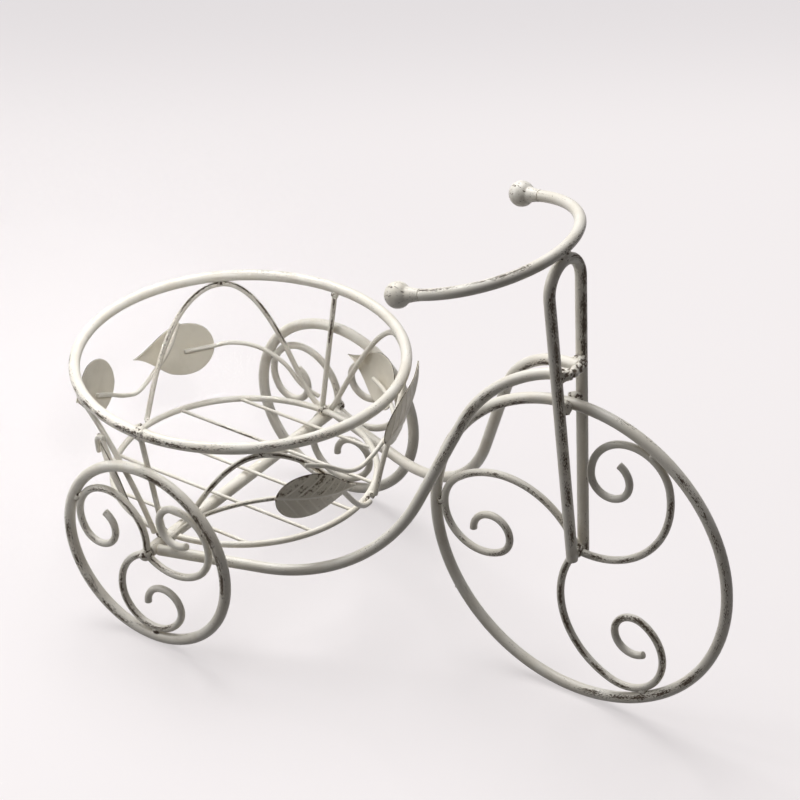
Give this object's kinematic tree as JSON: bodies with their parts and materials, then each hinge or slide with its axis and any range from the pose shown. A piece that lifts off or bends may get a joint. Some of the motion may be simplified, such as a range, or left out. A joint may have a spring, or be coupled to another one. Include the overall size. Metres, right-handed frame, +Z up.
{
  "type": "bicycle plant stand",
  "caption": "Wirework tricycle plant stand: a large front wheel with scrolls, a curved frame, swept handlebar and a round leaf-and-arch basket between the rear wheels for a potted plant.",
  "frame": {"origin": "bottom centre of the bounding box: on the ground, midway between the foremost and the rearmost point, in the middle plane", "axes": "+X in the direction of travel, +Y to the rider's left, +Z up"},
  "size_m": [0.382, 0.178, 0.2569],
  "materials": {
    "rod_enamel": "satin cream enamel, rubbed through to dark brown along edges and undersides",
    "wire_enamel": "satin cream enamel, lightly rubbed through to dark brown",
    "leaf_enamel": "satin cream enamel with dark rubbed veins and edges",
    "weld_enamel": "lumpy enamelled weld, darker in its hollows"
  },
  "bodies": {
    "root": {"front_wheel_rim": "rod_enamel", "front_scroll_rear": "wire_enamel", "front_scroll_upper": "wire_enamel", "front_scroll_lower": "wire_enamel", "right_wheel_rim": "rod_enamel", "right_scroll_rear": "wire_enamel", "right_scroll_upper": "wire_enamel", "right_scroll_lower": "wire_enamel", "left_wheel_rim": "rod_enamel", "left_scroll_rear": "wire_enamel", "left_scroll_upper": "wire_enamel", "left_scroll_lower": "wire_enamel", "rear_axle": "rod_enamel", "right_frame_rod": "rod_enamel", "left_frame_rod": "rod_enamel", "fork": "rod_enamel", "handlebar": "rod_enamel", "right_grip_ball": "rod_enamel", "left_grip_ball": "rod_enamel", "basket_rim": "rod_enamel", "basket_floor_ring": "wire_enamel", "floor_wire_1": "wire_enamel", "floor_wire_2": "wire_enamel", "floor_wire_3": "wire_enamel", "floor_wire_4": "wire_enamel", "floor_wire_5": "wire_enamel", "right_stay": "wire_enamel", "left_stay": "wire_enamel", "arch_front_left": "wire_enamel", "arch_rear_left": "wire_enamel", "arch_rear_right": "wire_enamel", "arch_front_right": "wire_enamel", "tendril_1": "wire_enamel", "tendril_2": "wire_enamel", "tendril_3": "wire_enamel", "tendril_4": "wire_enamel", "tendril_5": "wire_enamel", "tendril_6": "wire_enamel", "leaf_1": "leaf_enamel", "leaf_2": "leaf_enamel", "leaf_3": "leaf_enamel", "leaf_4": "leaf_enamel", "leaf_5": "leaf_enamel", "leaf_6": "leaf_enamel", "front_wheel_welds": "weld_enamel", "right_wheel_welds": "weld_enamel", "left_wheel_welds": "weld_enamel", "fork_welds": "weld_enamel", "basket_rim_welds": "weld_enamel", "basket_floor_welds": "weld_enamel"}
  },
  "joints": []
}
